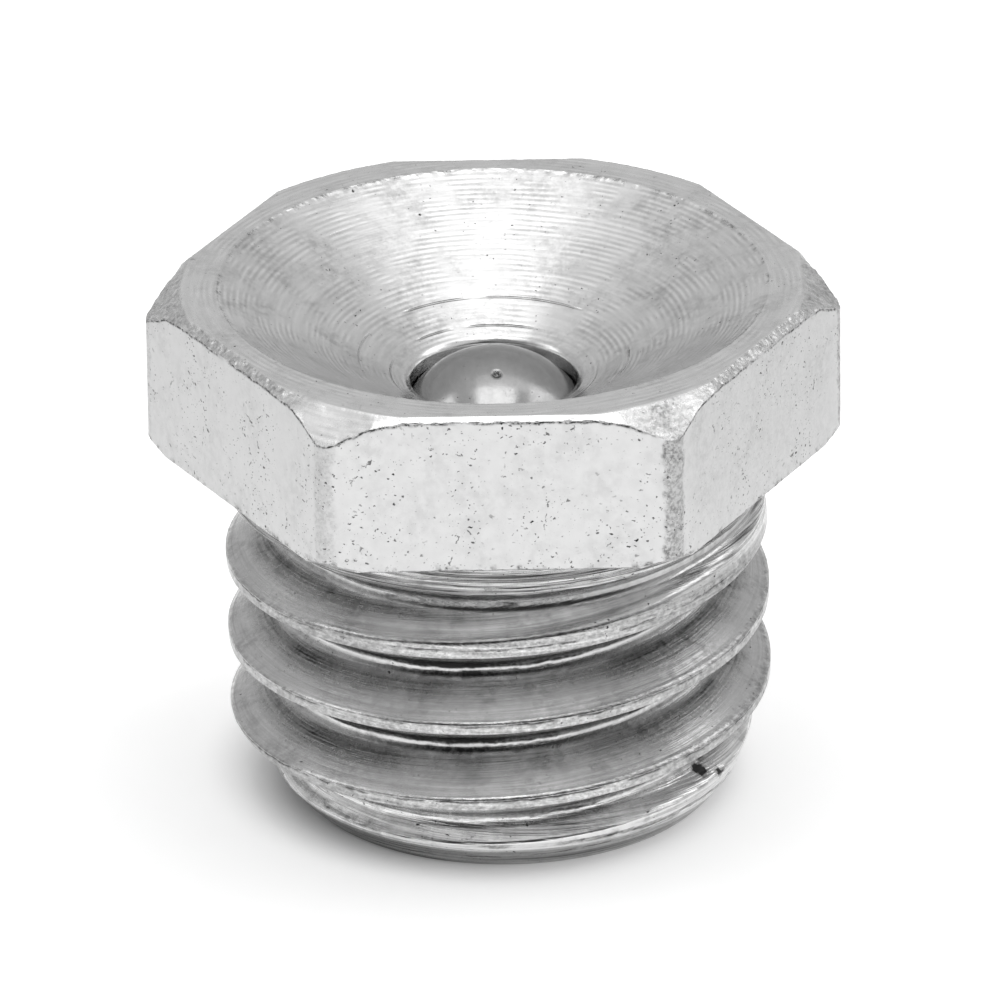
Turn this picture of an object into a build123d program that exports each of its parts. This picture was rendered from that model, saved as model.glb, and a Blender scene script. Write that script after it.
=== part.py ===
"""Funnel-head grease nipple: a turned and threaded body, its check ball and the ball's return spring.

The body is one piece, turned from hexagon bar. Grease is pressed into the funnel in its end face, pushes
the ball off its seat and leaves through the bore of the threaded shank. The lower rim of the shank is
rolled inwards under the spring, and that lip holds the ball and the spring in for good.

Frame: +Z points out of the funnel, along the axis. The origin is on the axis, in the plane of the seating
face under the hexagon. Two flats of the hexagon face +Y and -Y. Millimetres and degrees throughout.
"""

import os
from math import atan2, ceil, cos, degrees, radians, sin, sqrt, tan

from build123d import *

# ---- Driving dimensions -------------------------------------------------------------------------

# Hexagon head
across_flats = 9.0
head_height = 2.5
bar_corner_radius = 0.32  # the rolled corners of the hexagon bar
top_circle_margin = 0.22  # the end face reaches this far past the flats, at the corners
top_chamfer_angle = 45.0  # slope of the corner chamfers, from the end face
top_edge_break = 0.03  # deburred edge along each flat
under_circle_margin = 0.375  # the same for the seating face
under_chamfer_angle = 30.0

# Threaded shank, metric coarse
thread_diameter = 8.0
thread_pitch = 1.25
thread_depth = 0.767
thread_angle = 60.0
crest_share = 1 / 8  # flat left on the crest, as a share of the pitch
shank_length = 5.5
plain_neck = 1.06  # from the seating face to the middle of the last full-depth groove
run_out_turns = 0.6  # turns over which the groove fades into the neck
run_out_bearing = -140.0  # direction, from +X, in which the groove starts to fade
end_diameter = 7.4  # just below the full crests
end_length = 0.85
end_shoulder_diameter = 7.1  # between the two slopes of the rolled-in end
end_shoulder_height = 0.4
end_face_diameter = 6.34

# Funnel
rim_width = 0.42  # left between the funnel's mouth and the flats
funnel_depth = 1.5

# Valve: ball, seat, chamber and retaining lip
ball_diameter = 3.0
seat_contact_angle = 60.0  # from the ball's upper pole to the circle on which it seats
seat_land = 0.05  # seat surface left between that circle and the throat
throat_length = 0.24
ball_side_clearance = 0.15
lip_thickness = 0.4

# Return spring
wire_diameter = 0.35
spring_outer_diameter = 2.7
spring_turns = 3.25

# Running gaps
ball_seat_gap = 0.02
spring_end_gap = 0.01

# ---- Dimensions that follow ---------------------------------------------------------------------

flat_radius = across_flats / 2
head_corner_radius = flat_radius / cos(radians(30))
top_circle_radius = flat_radius + top_circle_margin
under_circle_radius = flat_radius + under_circle_margin
corner_drop = (head_corner_radius - top_circle_radius) * tan(radians(top_chamfer_angle))
corner_rise = (head_corner_radius - under_circle_radius) * tan(radians(under_chamfer_angle))
funnel_mouth_radius = flat_radius - rim_width

thread_radius = thread_diameter / 2
flank_slope = tan(radians(thread_angle / 2))
groove_mouth = thread_pitch * (1 - crest_share)
groove_root = groove_mouth - 2 * thread_depth * flank_slope
root_radius = thread_radius - thread_depth
end_radius = end_diameter / 2
groove_overcut = 0.05  # the cutting profile stands this far out of the shank
overcut_radius = thread_radius + groove_overcut
overcut_mouth = groove_mouth + 2 * groove_overcut * flank_slope

ball_radius = ball_diameter / 2
seat_circle_radius = ball_radius * sin(radians(seat_contact_angle))
throat_radius = seat_circle_radius - seat_land
chamber_radius = ball_radius + ball_side_clearance
seat_slope = tan(radians(seat_contact_angle))
throat_top = head_height - funnel_depth
throat_bottom = throat_top - throat_length
seat_bottom = throat_bottom - (chamber_radius - throat_radius) * seat_slope
ball_height = (
    throat_bottom
    - seat_land * seat_slope
    - ball_radius * cos(radians(seat_contact_angle))
    - ball_seat_gap
)

coil_radius = (spring_outer_diameter - wire_diameter) / 2
coil_inner_radius = coil_radius - wire_diameter / 2
lip_top = lip_thickness - shank_length
spring_bottom = lip_top + spring_end_gap
spring_top = ball_height - sqrt(ball_radius**2 - coil_inner_radius**2) - spring_end_gap
spring_length = spring_top - spring_bottom

# ---- Body ---------------------------------------------------------------------------------------

# The thread groove is one cutting profile carried up a helix. It starts below the end face, so that the
# thread runs out through the end chamfer. Near the head the profile climbs a cone, which takes it slowly
# clear of the shank, and the groove fades into the plain neck.
full_turns = ceil((shank_length - plain_neck) / thread_pitch) + 1
groove_start = -plain_neck - full_turns * thread_pitch
run_out_rise = run_out_turns * thread_pitch
run_out_draw = thread_depth + groove_overcut
run_out_cone = degrees(atan2(run_out_draw, run_out_rise))
run_out_pitch = thread_pitch / cos(radians(run_out_cone))  # a conical helix's pitch lies along the cone

with BuildLine() as groove_path:
    Helix(thread_pitch, full_turns * thread_pitch, root_radius, center=(0, 0, groove_start))

with BuildLine() as run_out_path:
    Helix(run_out_pitch, run_out_rise, root_radius, center=(0, 0, -plain_neck), cone_angle=run_out_cone)

with BuildPart() as thread_groove:
    for path in (groove_path.line, run_out_path.line):
        bottom = (path @ 0).Z
        with BuildSketch(Plane.XZ):
            with BuildLine():
                Polyline(
                    (root_radius, bottom - groove_root / 2),
                    (overcut_radius, bottom - overcut_mouth / 2),
                    (overcut_radius, bottom + overcut_mouth / 2),
                    (root_radius, bottom + groove_root / 2),
                    close=True,
                )
            make_face()
        sweep(path=path, is_frenet=True)

# Hexagon bar, with the edge of each flat broken at the end face and the corners turned off at both ends.
with BuildPart() as hexagon_head:
    with BuildSketch():
        RegularPolygon(flat_radius, 6, major_radius=False)
        fillet(vertices(), bar_corner_radius)
    extrude(amount=head_height)
    chamfer(edges().group_by(Axis.Z)[-1], top_edge_break)
    with BuildSketch(Plane.XZ):
        with BuildLine():
            Polyline(
                (0, 0),
                (under_circle_radius, 0),
                (head_corner_radius, corner_rise),
                (head_corner_radius, head_height - corner_drop),
                (top_circle_radius, head_height),
                (0, head_height),
                close=True,
            )
        make_face()
    revolve(axis=Axis.Z, mode=Mode.INTERSECT)

with BuildPart() as nipple_body:
    # The thread is cut in a plain bar that is longer than the shank.
    with BuildSketch():
        Circle(thread_radius)
    extrude(amount=groove_start - thread_pitch)
    add(thread_groove.part, rotation=(0, 0, run_out_bearing), mode=Mode.SUBTRACT)

    # The bar is turned to the shank's length. Its end is slimmer, and rolling the rim inwards has left two
    # slopes on it.
    with BuildSketch(Plane.XZ):
        with BuildLine():
            Polyline(
                (0, 0),
                (thread_radius, 0),
                (thread_radius, end_length + thread_radius - end_radius - shank_length),
                (end_radius, end_length - shank_length),
                (end_shoulder_diameter / 2, end_shoulder_height - shank_length),
                (end_face_diameter / 2, -shank_length),
                (0, -shank_length),
                close=True,
            )
        make_face()
    revolve(axis=Axis.Z, mode=Mode.INTERSECT)

    add(hexagon_head.part)

    # Funnel, throat, seat, valve chamber and outlet, bored on one axis.
    with BuildSketch(Plane.XZ):
        with BuildLine():
            Polyline(
                (0, head_height),
                (funnel_mouth_radius, head_height),
                (throat_radius, throat_top),
                (throat_radius, throat_bottom),
                (chamber_radius, seat_bottom),
                (chamber_radius, lip_top),
                (coil_inner_radius, lip_top),
                (coil_inner_radius, -shank_length),
                (0, -shank_length),
                close=True,
            )
        make_face()
    revolve(axis=Axis.Z, mode=Mode.SUBTRACT)

# ---- Ball ---------------------------------------------------------------------------------------

with BuildPart() as check_ball:
    with Locations((0, 0, ball_height)):
        Sphere(ball_radius)

# ---- Spring, with both ends ground flat ---------------------------------------------------------

with BuildLine(Plane.XY.offset(spring_bottom)) as coil_path:
    Helix(spring_length / spring_turns, spring_length, coil_radius)

with BuildPart() as return_spring:
    with BuildSketch(Plane(coil_path.line @ 0, z_dir=coil_path.line % 0)):
        Circle(wire_diameter / 2)
    sweep(path=coil_path.line, is_frenet=True)
    with BuildSketch(Plane.XY.offset(spring_bottom)):
        Circle(spring_outer_diameter)
    extrude(amount=spring_length, mode=Mode.INTERSECT)

# ---- Output -------------------------------------------------------------------------------------

nipple_body.part.label = "nipple_body"
check_ball.part.label = "check_ball"
return_spring.part.label = "return_spring"

os.makedirs("parts", exist_ok=True)
export_step(nipple_body.part, "parts/nipple_body.step")
export_step(check_ball.part, "parts/check_ball.step")
export_step(return_spring.part, "parts/return_spring.step")
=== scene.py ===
"""Dressed model of a funnel-type grease nipple with a ball check valve.

Sizes are in millimetres, angles in degrees, heights of fine relief in millimetres.
Meshes become metres when they are laid on the frame.
"""

import logging
import math
from dataclasses import dataclass
from enum import Enum
from typing import Sequence, Union

import bpy
import numpy as np
from mathutils import Matrix, Vector


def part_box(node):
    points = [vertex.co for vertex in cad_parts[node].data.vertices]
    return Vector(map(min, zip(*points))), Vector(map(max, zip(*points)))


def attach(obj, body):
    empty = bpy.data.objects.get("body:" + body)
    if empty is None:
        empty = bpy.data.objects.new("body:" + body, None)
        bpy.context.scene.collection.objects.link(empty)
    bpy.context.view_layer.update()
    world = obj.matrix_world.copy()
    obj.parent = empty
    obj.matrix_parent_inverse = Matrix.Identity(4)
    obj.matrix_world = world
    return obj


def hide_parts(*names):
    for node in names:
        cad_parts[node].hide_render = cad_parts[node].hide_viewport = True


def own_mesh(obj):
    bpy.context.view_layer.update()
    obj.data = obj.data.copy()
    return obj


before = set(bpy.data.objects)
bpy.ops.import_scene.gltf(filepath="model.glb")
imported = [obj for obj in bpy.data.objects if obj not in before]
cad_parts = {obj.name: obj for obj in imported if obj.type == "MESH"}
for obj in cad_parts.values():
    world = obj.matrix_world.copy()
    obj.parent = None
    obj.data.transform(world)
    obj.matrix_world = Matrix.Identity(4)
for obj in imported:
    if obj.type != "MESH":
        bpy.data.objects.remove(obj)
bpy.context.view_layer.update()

log = logging.getLogger("grease_nipple")

MM = 0.001
FRONT = -90.0
HALF_TURN = 180.0
FULL_TURN = 360.0
HEX_TURN = 60.0
THREAD_TOP = (-1.0, -1.3)
END_TOP = (-4.45, -4.6)
Number = Union[int, float]


def smooth_step(value: np.ndarray, start: float, end: float) -> np.ndarray:
    """Rises smoothly from 0 at start to 1 at end.

    Args:
        value: The values to grade.
        start: Where the result is 0.
        end: Where the result is 1. It may be the lower of the two.

    Returns:
        The graded values, from 0 to 1.
    """
    share = np.clip((value - start) / (end - start), 0.0, 1.0)
    return share * share * (3.0 - 2.0 * share)


def ridge(value: np.ndarray, centre: Union[float, np.ndarray], width: float) -> np.ndarray:
    """Rises to 1 at a centre and dies away on both sides.

    Args:
        value: The values to grade.
        centre: Where the result is 1.
        width: Distance from the centre at which the result is about a third.

    Returns:
        The graded values, from 0 to 1.
    """
    return np.exp(-(((value - centre) / width) ** 2))


def turned_from(bearings: np.ndarray, centre: float) -> np.ndarray:
    """Angle between each bearing and a centre, from 0 to 180.

    Args:
        bearings: The bearings.
        centre: The bearing to measure from.

    Returns:
        The angle at each bearing.
    """
    return np.abs((bearings - centre + HALF_TURN) % FULL_TURN - HALF_TURN)


class Grain:
    """A seeded smooth random field in space, for wear that is part of the shape."""

    CELLS = 32
    ORIGIN = 517.0
    LAYER_STEP = 7.3

    def __init__(self, seed: int) -> None:
        """Draws the random values at the cell corners.

        Args:
            seed: Number that fixes the draw.
        """
        draw = np.random.default_rng(seed)
        self.corners = draw.uniform(-1.0, 1.0, (self.CELLS,) * 3)

    def at(self, points: np.ndarray, spacing: Number) -> np.ndarray:
        """Reads the field.

        Args:
            points: Places, with x, y and z last.
            spacing: Size of one cell.

        Returns:
            Values from -1 to 1, one for each place.
        """
        scaled = points / spacing + self.ORIGIN
        cell = np.floor(scaled).astype(int)
        part = scaled - cell
        part = part * part * (3.0 - 2.0 * part)
        total = np.zeros(points.shape[:-1])
        for corner in range(8):
            step = np.array([corner & 1, corner >> 1 & 1, corner >> 2 & 1])
            weight = np.prod(np.where(step == 1, part, 1.0 - part), axis=-1)
            index = (cell + step) % self.CELLS
            total += weight * self.corners[index[..., 0], index[..., 1], index[..., 2]]
        return total

    def rough(
        self,
        points: np.ndarray,
        spacing: Number,
        step: Number = 0.0,
        squeeze: float = 1.0,
        layers: int = 3,
    ) -> np.ndarray:
        """Sums finer and finer layers of the field.

        Args:
            points: Places, with x, y and z last.
            spacing: Cell size of the coarsest layer.
            step: Step in all directions that sets this sum apart from others.
            squeeze: How many times flatter the cells are than they are wide.
            layers: Number of layers, each half the size and strength of the last.

        Returns:
            Values from about -1 to 1, one for each place.
        """
        points = points * (1.0, 1.0, squeeze) + step
        total = np.zeros(points.shape[:-1])
        for layer in range(layers):
            total += self.at(points + self.LAYER_STEP * layer, spacing / 2**layer) / 2**layer
        return total / (2.0 - 0.5 ** (layers - 1))


# ---- Shader maths --------------------------------------------------------------------------------


class Wire:
    """One output in a node tree, with arithmetic that adds the nodes."""

    def __init__(self, board: "Board", socket: bpy.types.NodeSocket) -> None:
        """Keeps the socket and the board that it is on."""
        self.board = board
        self.socket = socket

    def maths(self, operation: str, *values: object) -> "Wire":
        """Adds a Math node and returns its result."""
        return self.board.add(
            "ShaderNodeMath", {"operation": operation}, dict(enumerate(values))
        )

    def __add__(self, other: object) -> "Wire":
        """Sum."""
        return self.maths("ADD", self, other)

    __radd__ = __add__

    def __sub__(self, other: object) -> "Wire":
        """Difference."""
        return self.maths("SUBTRACT", self, other)

    def __rsub__(self, other: object) -> "Wire":
        """Difference the other way round."""
        return self.maths("SUBTRACT", other, self)

    def __mul__(self, other: object) -> "Wire":
        """Product."""
        return self.maths("MULTIPLY", self, other)

    __rmul__ = __mul__

    def __truediv__(self, other: object) -> "Wire":
        """Quotient."""
        return self.maths("DIVIDE", self, other)

    def __pow__(self, other: object) -> "Wire":
        """Power."""
        return self.maths("POWER", self, other)

    def __neg__(self) -> "Wire":
        """The value with its sign turned."""
        return self.maths("MULTIPLY", self, -1.0)

    def __abs__(self) -> "Wire":
        """The value without its sign."""
        return self.maths("ABSOLUTE", self)

    def sine(self) -> "Wire":
        """Sine of an angle in radians."""
        return self.maths("SINE", self)

    def most(self, other: object) -> "Wire":
        """The larger of the two."""
        return self.maths("MAXIMUM", self, other)

    def least(self, other: object) -> "Wire":
        """The smaller of the two."""
        return self.maths("MINIMUM", self, other)

    def graded(self, start: object, end: object) -> "Wire":
        """Rises smoothly from 0 at start to 1 at end."""
        return self.board.add(
            "ShaderNodeMapRange",
            {"interpolation_type": "SMOOTHSTEP"},
            {"Value": self, "From Min": start, "From Max": end},
        )

    def times(self, scale: Sequence[Number]) -> "Wire":
        """The vector with each part multiplied."""
        return self.board.add(
            "ShaderNodeVectorMath", {"operation": "MULTIPLY"}, {0: self, 1: tuple(scale)}
        )

    def shifted(self, other: object) -> "Wire":
        """The vector sum."""
        return self.board.add("ShaderNodeVectorMath", {"operation": "ADD"}, {0: self, 1: other})


class Board:
    """A node tree that is filled from Python expressions."""

    def __init__(self, tree: bpy.types.NodeTree) -> None:
        """Empties the tree and keeps it."""
        tree.nodes.clear()
        self.tree = tree

    def add(
        self,
        kind: str,
        settings: dict[str, object],
        sockets: dict[Union[int, str], object],
        output: Union[int, str] = 0,
    ) -> Wire:
        """Adds one node.

        Args:
            kind: Blender's name for the node's type.
            settings: Properties of the node, set first.
            sockets: Values or wires for the inputs, by name or number.
            output: Name or number of the wanted output.

        Returns:
            The wanted output.
        """
        node = self.tree.nodes.new(kind)
        for name, value in settings.items():
            setattr(node, name, value)
        for name, value in sockets.items():
            if isinstance(value, Wire):
                self.tree.links.new(value.socket, node.inputs[name])
            else:
                node.inputs[name].default_value = value
        return Wire(self, node.outputs[output]) if len(node.outputs) else Wire(self, None)

    def place(self) -> Wire:
        """The place on the object in millimetres."""
        raw = self.add("ShaderNodeTexCoord", {}, {}, "Object")
        return raw.times((1 / MM, 1 / MM, 1 / MM))

    def parts(self, vector: Wire) -> tuple[Wire, Wire, Wire]:
        """The x, y and z of a vector."""
        first = self.add("ShaderNodeSeparateXYZ", {}, {0: vector})
        node = first.socket.node
        return first, Wire(self, node.outputs[1]), Wire(self, node.outputs[2])

    def joined(self, x: object, y: object, z: object) -> Wire:
        """A vector made of three values."""
        return self.add("ShaderNodeCombineXYZ", {}, {0: x, 1: y, 2: z})

    def noise(self, where: Wire, per_mm: float, detail: float = 2.0, rough: float = 0.5) -> Wire:
        """Smooth random values around 0.5."""
        return self.add(
            "ShaderNodeTexNoise",
            {},
            {"Vector": where, "Scale": per_mm, "Detail": detail, "Roughness": rough},
        )

    def cells(self, where: Wire, per_mm: float, feature: str) -> Wire:
        """Distance to the centre, or to the edge, of the nearest cell of a random net."""
        return self.add(
            "ShaderNodeTexVoronoi",
            {"feature": feature},
            {"Vector": where, "Scale": per_mm},
            "Distance",
        )

    def greys(self, dark: object, light: object, share: object) -> Wire:
        """A grey colour between two, by share."""
        return self.add(
            "ShaderNodeMix",
            {"data_type": "RGBA"},
            {0: share, 6: self.grey(dark), 7: self.grey(light)},
            2,
        )

    @staticmethod
    def grey(value: object) -> object:
        """A plain number as a colour; a wire as it is."""
        return (value, value, value, 1.0) if isinstance(value, (int, float)) else value

    def specks(self, where: Wire, spacing: float, size: float, share: float) -> Wire:
        """Scattered dark specks, one in some of the cells of a random net.

        Args:
            where: Place in millimetres, already bent as wanted.
            spacing: Mean distance between cells.
            size: Largest radius of a speck.
            share: Share of the cells that hold a speck.

        Returns:
            1 inside a speck and 0 outside.
        """
        smallest, outside, softness, start = 0.25, 1.3, 0.6, 0.03
        cell = self.cells(where, 1.0 / spacing, "F1")
        chance, bulk, _ = self.parts(Wire(self, cell.socket.node.outputs["Color"]))
        radius = (bulk * (1.0 - smallest) + smallest) * (size / spacing)
        inside = (radius * outside - cell) / (radius * softness)
        return inside.graded(0.0, 1.0) * (share - chance).graded(0.0, start)


@dataclass(frozen=True)
class Cloud:
    """Smooth random patches, graded from clear to full between two levels.

    Attributes:
        per_mm: How many of the largest patches there are in a millimetre.
        detail: How many finer layers lie on them.
        rough: Strength of each finer layer against the last.
        low: Level of the noise below which it is clear.
        high: Level of the noise above which it is full.
        shift: Step that sets these patches apart from others.
    """

    per_mm: float
    detail: float = 2.0
    rough: float = 0.5
    low: float = 0.3
    high: float = 0.7
    shift: tuple[float, float, float] = (0.0, 0.0, 0.0)

    def over(self, board: Board, place: Wire) -> Wire:
        """The patches at a place, from 0 to 1."""
        where = place.shifted(self.shift) if any(self.shift) else place
        return board.noise(where, self.per_mm, self.detail, self.rough).graded(self.low, self.high)


# ---- Finishes ------------------------------------------------------------------------------------


class Lay(Enum):
    """Which way the fine lines of a surface run."""

    FACED = "rings about the axis, on a turned face"
    THREADED = "along the thread, with rings on the plain parts"
    DRAWN = "along the bar"
    POLISHED = "all ways"


BLOTCHES = Cloud(per_mm=1.3, detail=4.0, rough=0.6, low=0.35, high=0.7, shift=(3.1, 8.2, 5.5))
MOTTLE = Cloud(per_mm=7.0, detail=4.0, rough=0.65, low=0.3, high=0.7)
SCORE_STRETCHES = Cloud(per_mm=0.9, detail=3.0, low=0.45, high=0.6, shift=(9.0, 2.0, 4.0))
FINE_DIRT = Cloud(per_mm=19.0, detail=4.0, rough=0.7, low=0.40, high=0.62, shift=(6.0, 3.0, 1.0))
RING_STRETCHES = Cloud(per_mm=1.6, low=0.42, high=0.62, shift=(5.0, 1.0, 2.0))
SPECK_PATCHES = Cloud(per_mm=1.1, detail=3.0, low=0.38, high=0.58, shift=(1.7, 4.4, 2.6))
CRACK_STRETCHES = Cloud(per_mm=9.0, low=0.56, high=0.64)


@dataclass(frozen=True)
class Metal:
    """A bare or plated metal finish.

    The mesh's attribute of dirt and painted light darkens it from 0 to 1, with dirt and painted
    shade, and below 0 makes it brighter, with painted highlights and a polished line round the end.

    Attributes:
        name: Name of the material.
        lay: Which way the fine lines run.
        tone: Share of light that the clean metal reflects.
        dark_tone: The same inside specks, dirt and painted shade.
        line_shade: How much the lines change the tone.
        feed_share: Share of the rings that is as regular as the tool's feed.
        ring_marks: Radii of single deeper rings.
        sheen_loss: How much the roughness changes from place to place.
        roughness: Mean roughness.
        line_pitch: Distance between the lines.
        line_depth: Height of the lines.
        grain_depth: Height of the finest grain.
        speck_share: Share of the places for specks that hold one.
        speck_size: Largest radius of a speck.
        blotches: How dark the large blotches are.
    """

    name: str
    lay: Lay
    tone: float = 0.72
    dark_tone: float = 0.05
    line_shade: float = 0.10
    feed_share: float = 0.5
    ring_marks: tuple[float, ...] = ()
    sheen_loss: float = 0.10
    roughness: float = 0.28
    line_pitch: float = 0.10
    line_depth: float = 0.0015
    grain_depth: float = 0.0005
    speck_share: float = 0.5
    speck_size: float = 0.03
    blotches: float = 0.15

    def make(self) -> bpy.types.Material:
        """Builds the material.

        Returns:
            The material, ready for a mesh.
        """
        brightening_gain, dirt_roughness = 0.45, 0.25
        material = bpy.data.materials.new(self.name)
        material.use_nodes = True
        board = Board(material.node_tree)
        place = board.place()
        x, y, _ = board.parts(place)
        radius = (x * x + y * y) ** 0.5
        lines = self.lines(board, place, radius)
        specks = self.specks(board, place)
        scores = self.scores(radius) * SCORE_STRETCHES.over(board, place)
        # The mesh attribute holds dirt and painted shade above 0, and painted highlights and a
        # polished line below 0.
        soil_and_painted_light = board.add("ShaderNodeAttribute", {"attribute_name": "soil_and_painted_light"}, {}, "Fac")
        mottle = MOTTLE.over(board, place)
        dark, grain_of_dirt = self.darkening(board, place, lines, specks, scores, soil_and_painted_light)
        grime_and_shade = (dark + BLOTCHES.over(board, place) * mottle * self.blotches).least(1.0)
        # Values of the mesh attribute below 0 brighten the tone: painted highlights, and a polished
        # line round the end.
        tone = (lines - 0.5) * self.line_shade + (-soil_and_painted_light).most(0.0) * brightening_gain + self.tone
        height = self.relief(board, place, lines, scores, soil_and_painted_light * grain_of_dirt)
        if self.lay is Lay.THREADED:
            tone_change, height_change = self.thread_wear_and_painted_light(board, place, radius)
            tone = tone + tone_change
            height = height + height_change
        roughness = self.roughness + (mottle - 0.5) * self.sheen_loss + dark * dirt_roughness
        bump = board.add("ShaderNodeBump", {}, {"Height": height, "Distance": MM, "Strength": 1.0})
        shader = board.add(
            "ShaderNodeBsdfPrincipled",
            {},
            {
                "Base Color": board.greys(tone, self.dark_tone, grime_and_shade),
                "Metallic": 1.0,
                "Roughness": roughness,
                "Normal": bump,
            },
        )
        board.add("ShaderNodeOutputMaterial", {}, {"Surface": shader})
        return material

    def darkening(
        self, board: Board, place: Wire, lines: Wire, specks: Wire, scores: Wire, soil_and_painted_light: Wire
    ) -> tuple[Wire, Wire]:
        """Specks, the mesh's dirt and painted shade, and scores together.

        Args:
            board: The node tree to add to.
            place: Place on the object in millimetres.
            lines: Fine tool lines.
            specks: Pits and specks.
            scores: Single deeper rings.
            soil_and_painted_light: The mesh's dirt, painted shade and painted highlights.

        Returns:
            How dark the place is from dirt and painted shade, from 0 to 1, and the fine grain of
            the dirt.
        """
        soil_base, soil_grain, score_shade = 0.35, 0.9, 0.3
        line_share = 0.75
        hole_start, hole_full = 0.94, 0.99
        fine = FINE_DIRT.over(board, place)
        if self.lay is Lay.THREADED:
            fine = lines.graded(0.3, 0.7) * line_share + fine * (1.0 - line_share)
        # The painted shade in the mesh attribute darkens the colour here with the dirt; values near
        # 1 turn fully dark.
        dark = specks.most(soil_and_painted_light * (fine * soil_grain + soil_base)).most(scores * score_shade)
        return dark.most(soil_and_painted_light.graded(hole_start, hole_full)), fine

    def relief(self, board: Board, place: Wire, lines: Wire, scores: Wire, crust: Wire) -> Wire:
        """Height of the fine relief.

        Args:
            board: The node tree to add to.
            place: Place on the object in millimetres.
            lines: Fine tool lines.
            scores: Single deeper rings.
            crust: Grains over the mesh's dirt and painted shade.

        Returns:
            The height in millimetres.
        """
        grains_per_mm, grain_detail, grain_rough = 22.0, 2.0, 0.6
        score_depth, crust_height = 0.01, 0.006
        grain = board.noise(place, grains_per_mm, grain_detail, grain_rough)
        height = lines * self.line_depth + grain * self.grain_depth
        return height - scores * score_depth + crust * crust_height

    def thread_wear_and_painted_light(self, board: Board, place: Wire, radius: Wire) -> tuple[Wire, Wire]:
        """Gravelly crests, ringed neck and end, the end made lighter as painted light, and painted
        shade on the end's lower chamfer.

        Args:
            board: The node tree to add to.
            place: Place on the object in millimetres.
            radius: Distance from the axis.

        Returns:
            The change of tone and the change of height.
        """
        gravel_shade, gravel_loss, gravel_height = 1.2, 0.08, 0.009
        ring_pitch, ring_shade, end_ring_share = 0.05, 0.8, 0.6
        end_painted_light, neck_loss, chamfer_painted_shade = 0.28, 0.18, 0.52
        neck_ring_height, end_ring_height = 0.04, 0.018
        x, y, z = board.parts(place)
        crest = radius.graded(3.96, 4.03) * z.graded(-1.05, -1.3)
        neck = radius.graded(3.8, 3.95) * z.graded(-1.15, -0.9)
        end = z.graded(*END_TOP)
        chamfer = z.graded(-5.05, -5.2)
        gravel = board.noise(place.times((1.0, 1.0, 1.6)), 10.0, detail=4.0, rough=0.75)
        level = board.joined(x * 0.3, y * 0.3, z / ring_pitch)
        rings = board.noise(level, 1.0, detail=3.0, rough=0.65)
        shade = (rings.graded(0.3, 0.7) - 0.5) * ring_shade
        tone = crest * ((gravel - 0.5) * gravel_shade - gravel_loss)
        tone = tone + neck.most(end * end_ring_share) * shade
        # Painted light: the end is made lighter for the lit floor that it reflects, and its lower
        # chamfer darker as painted shade for the shaded floor under it.
        tone = tone + end * end_painted_light - neck * neck_loss - chamfer * chamfer_painted_shade
        turned = (neck * neck_ring_height).most(end * end_ring_height)
        return tone, crest * gravel * gravel_height + turned * rings

    def scores(self, radius: Wire) -> Wire:
        """Single deeper rings that the tool left at some radii.

        Args:
            radius: Distance from the axis.

        Returns:
            1 in the middle of a ring and 0 away from it.
        """
        edge, middle = 0.024, 0.006
        total = radius * 0.0
        for ring in self.ring_marks:
            total = total.most(abs(radius - ring).graded(edge, middle))
        return total

    def lines(self, board: Board, place: Wire, radius: Wire) -> Wire:
        """Fine tool lines, by the lay of the surface.

        Args:
            board: The node tree to add to.
            place: Place on the object in millimetres.
            radius: Distance from the axis.

        Returns:
            Heights from about 0 to 1.
        """
        if self.lay is Lay.FACED:
            return self.faced_lines(board, place, radius)
        if self.lay is Lay.THREADED:
            return self.threaded_lines(board, place, radius)
        if self.lay is Lay.DRAWN:
            streaks = place.times((4.0, 4.0, 0.25))
            return board.noise(streaks, 1.0, detail=3.0, rough=0.6)
        swirls = place.times((9.0, 3.0, 9.0))
        return board.noise(swirls, 1.0, detail=3.0, rough=0.7)

    def faced_lines(self, board: Board, place: Wire, radius: Wire) -> Wire:
        """Rings of a turned face: regular feed, worn rings and short dashes.

        Args:
            board: The node tree to add to.
            place: Place on the object in millimetres.
            radius: Distance from the axis.

        Returns:
            Heights from about 0 to 1.
        """
        wander_share, worn_share, worn_per_pitch = 1.1, 0.6, 1.4
        x, y, _ = board.parts(place)
        wander = board.noise(board.joined(radius * 1.5, x * 0.5, y * 0.5), 1.0, 2.0)
        feed = ((radius / self.line_pitch + wander * wander_share) * (2 * math.pi)).sine()
        regular = feed * 0.5 * RING_STRETCHES.over(board, place) + 0.5
        ring = board.joined(radius / self.line_pitch * worn_per_pitch, x * 0.35, y * 0.35)
        worn = board.noise(ring, 1.0, detail=3.0, rough=0.6)
        dash = board.joined(radius / self.line_pitch, x * 2.0, y * 2.0)
        short = board.noise(dash, 1.0, detail=3.0, rough=0.6)
        rest = 1.0 - self.feed_share
        irregular = worn * (rest * worn_share) + short * (rest * (1.0 - worn_share))
        return regular * self.feed_share + irregular

    def threaded_lines(self, board: Board, place: Wire, radius: Wire) -> Wire:
        """Scratches along the flanks, and rings on the crests and the turned end.

        Args:
            board: The node tree to add to.
            place: Place on the object in millimetres.
            radius: Distance from the axis.

        Returns:
            Heights from about 0 to 1.
        """
        x, y, z = board.parts(place)
        ring = board.joined(radius / self.line_pitch, x * 0.55, y * 0.55)
        flank = board.noise(ring, 1.0, detail=4.0, rough=0.65)
        level = board.joined(x * 0.35, y * 0.35, z / self.line_pitch)
        plain = board.noise(level, 1.0, detail=3.0, rough=0.6)
        outer = radius.graded(3.96, 4.02).most(z.graded(*END_TOP))
        return flank * (1.0 - outer) + plain * outer

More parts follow.
